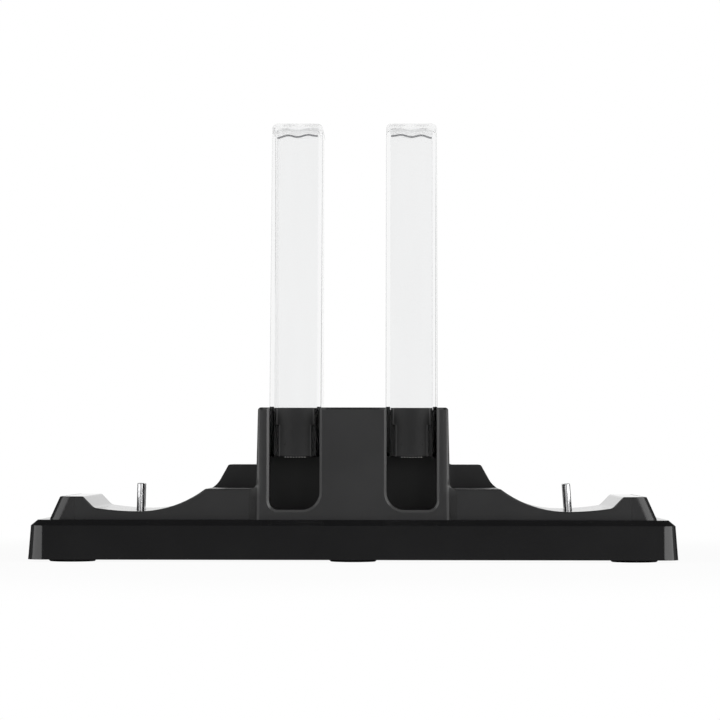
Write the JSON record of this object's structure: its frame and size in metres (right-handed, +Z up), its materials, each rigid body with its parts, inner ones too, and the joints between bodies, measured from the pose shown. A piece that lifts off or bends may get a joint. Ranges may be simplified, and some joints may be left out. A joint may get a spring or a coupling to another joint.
{
  "type": "controller charging dock",
  "caption": "Low black charging dock with shallow end cradles that hold metal plugs, and a central block with front slots and tall clear fins for small controllers.",
  "frame": {"origin": "on the table under the middle of the dock, at the feet's lower faces", "axes": "+X to the right along the dock, +Y from the slotted front to the back, +Z up"},
  "size_m": [0.2056, 0.073, 0.1419],
  "materials": {
    "housing_plastic": "fine matte moulded texture",
    "base_plastic": "smooth moulded, satin to gloss",
    "foot_rubber": "matte",
    "clear_plastic": "clear and polished",
    "carrier_plastic": "matte moulded",
    "contact_metal": "gold-plated",
    "circuit_board": "solder-masked",
    "light_lens": "clear lens over a pale dye",
    "plug_metal": "bright drawn",
    "liner_plastic": "moulded",
    "chip_plastic": "moulded",
    "choke_ferrite": "pressed",
    "capacitor_metal": "drawn",
    "socket_plastic": "moulded",
    "lead_sleeve": "smooth",
    "screw_steel": "plated"
  },
  "bodies": {
    "root": {"upper_housing": "housing_plastic", "base_shell": "base_plastic", "bottom_plate": "base_plastic", "foot_front_left": "foot_rubber", "foot_front_centre": "foot_rubber", "foot_front_right": "foot_rubber", "foot_rear_left": "foot_rubber", "foot_rear_centre": "foot_rubber", "foot_rear_right": "foot_rubber", "clear_post_left": "clear_plastic", "clear_post_right": "clear_plastic", "contact_carrier_left": "carrier_plastic", "contact_carrier_right": "carrier_plastic", "plug_holder_left": "carrier_plastic", "plug_holder_right": "carrier_plastic", "rail_contacts_left": "contact_metal", "rail_contacts_right": "contact_metal", "post_board_left": "circuit_board", "post_board_right": "circuit_board", "plug_board_left": "circuit_board", "plug_board_right": "circuit_board", "main_board": "circuit_board", "post_lights_left": "light_lens", "post_lights_right": "light_lens", "plug_shell_left": "plug_metal", "plug_shell_right": "plug_metal", "inlet_shell": "plug_metal", "plug_core_left": "liner_plastic", "plug_core_right": "liner_plastic", "inlet_tongue": "liner_plastic", "charge_chips": "chip_plastic", "chokes": "choke_ferrite", "capacitors": "capacitor_metal", "lead_sockets": "socket_plastic", "plug_lead_left": "lead_sleeve", "plug_lead_right": "lead_sleeve", "post_lead_left": "lead_sleeve", "post_lead_right": "lead_sleeve", "plate_screws": "screw_steel", "housing_screws": "screw_steel", "board_screws": "screw_steel", "post_board_screws": "screw_steel"}
  },
  "joints": []
}
